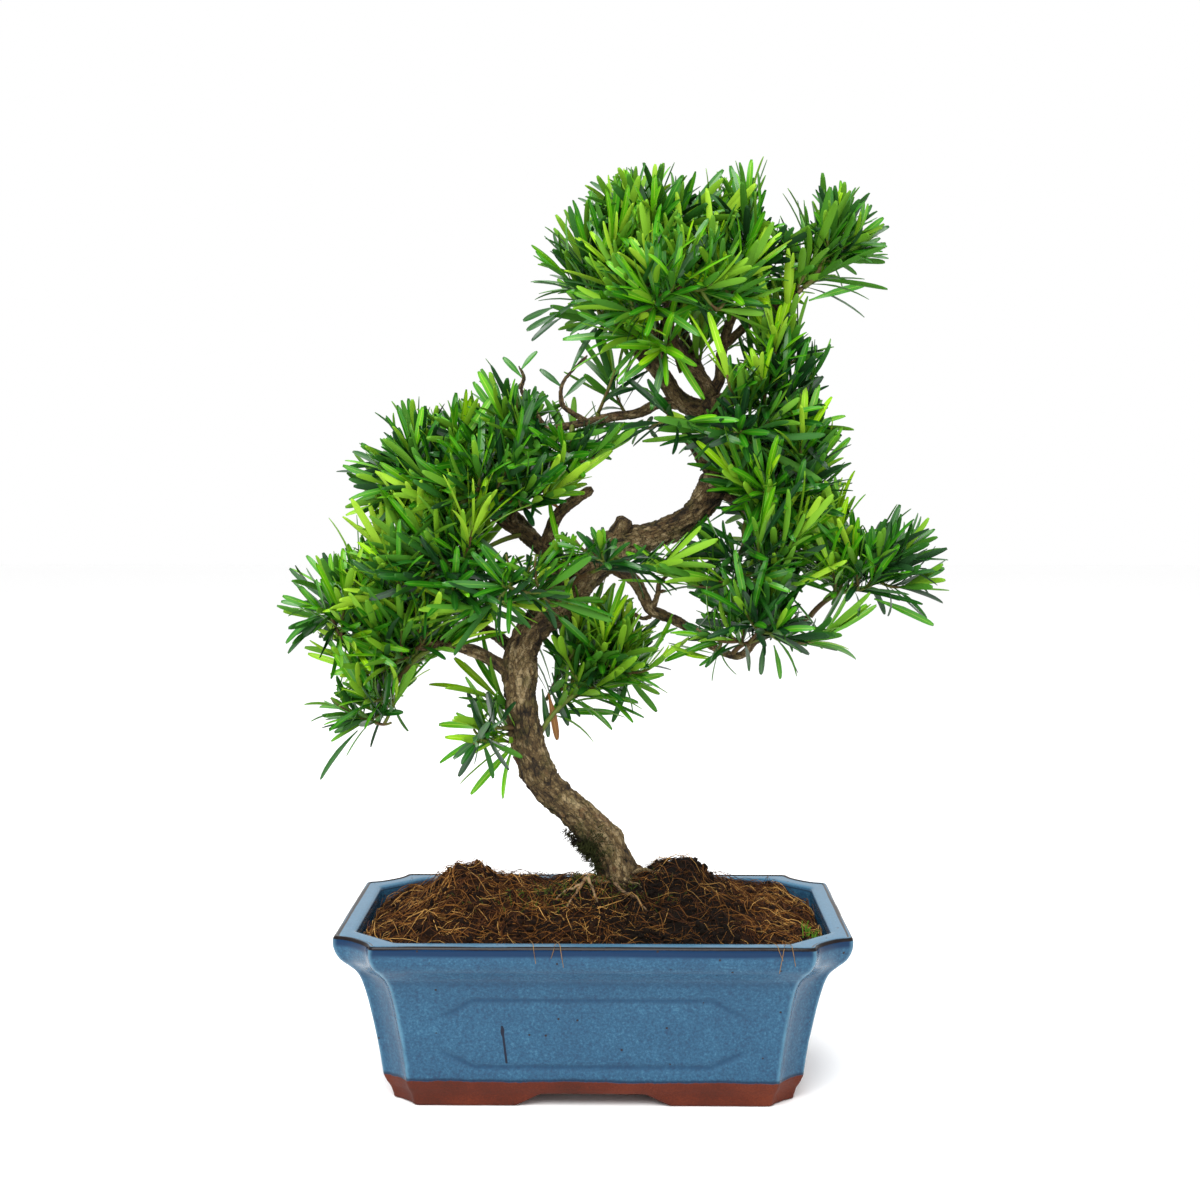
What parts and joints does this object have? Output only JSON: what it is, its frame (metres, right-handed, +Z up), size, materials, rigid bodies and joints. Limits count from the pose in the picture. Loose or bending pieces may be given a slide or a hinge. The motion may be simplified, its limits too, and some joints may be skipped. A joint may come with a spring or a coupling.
{
  "type": "potted podocarpus bonsai",
  "caption": "Small container-grown evergreen tree with a bent trunk and fans of narrow leaves, standing in a shallow glazed pot with cut corners.",
  "frame": {"origin": "bottom centre of the whole plant's box, on the ground under the pot", "axes": "+Z up, -Y towards the front of the pot, +X to the right as seen from the front"},
  "size_m": [0.3992, 0.1902, 0.5501],
  "materials": {
    "glaze": "glossy mottled blue glaze over brown clay",
    "soil": "loose dry fibres over dark soil",
    "bark": "rough fissured bark",
    "foliage": "smooth slightly glossy leaves"
  },
  "bodies": {
    "root": {"pot": "glaze", "soil": "soil", "trunk_foot": "bark", "trunk_lower": "bark", "trunk_bend": "bark", "trunk_sweep": "bark", "trunk_top": "bark", "bough_left_back": "bark", "bough_left_low": "bark", "bough_left_upper": "bark", "bough_left_far": "bark", "bough_left_behind": "bark", "bough_left_rise": "bark", "stub_cut": "bark", "stub_knob": "bark", "bough_right_low": "bark", "bough_right_out": "bark", "bough_right_mid": "bark", "bough_right_back": "bark", "bough_right_up": "bark", "bough_inner": "bark", "fork_left": "bark", "fork_centre": "bark", "fork_north": "bark", "fork_back": "bark", "fork_right": "bark", "fork_far": "bark", "bough_arch": "bark", "crown_west": "foliage", "crown_north": "foliage", "crown_east": "foliage", "crown_front": "foliage", "crown_back": "foliage", "crown_spray": "foliage", "right_tall": "foliage", "right_inner": "foliage", "right_mid": "foliage", "right_far": "foliage", "right_low_front": "foliage", "right_low": "foliage", "right_back": "foliage", "arch_spray": "foliage", "arch_under": "foliage", "inner_front": "foliage", "left_top": "foliage", "left_outer": "foliage", "left_mid": "foliage", "left_low_out": "foliage", "left_front": "foliage", "left_inner": "foliage", "left_low": "foliage", "left_droop": "foliage", "left_back": "foliage", "left_back_low": "foliage", "centre_fan": "foliage", "low_left_spray": "foliage", "low_right_spray": "foliage"}
  },
  "joints": []
}
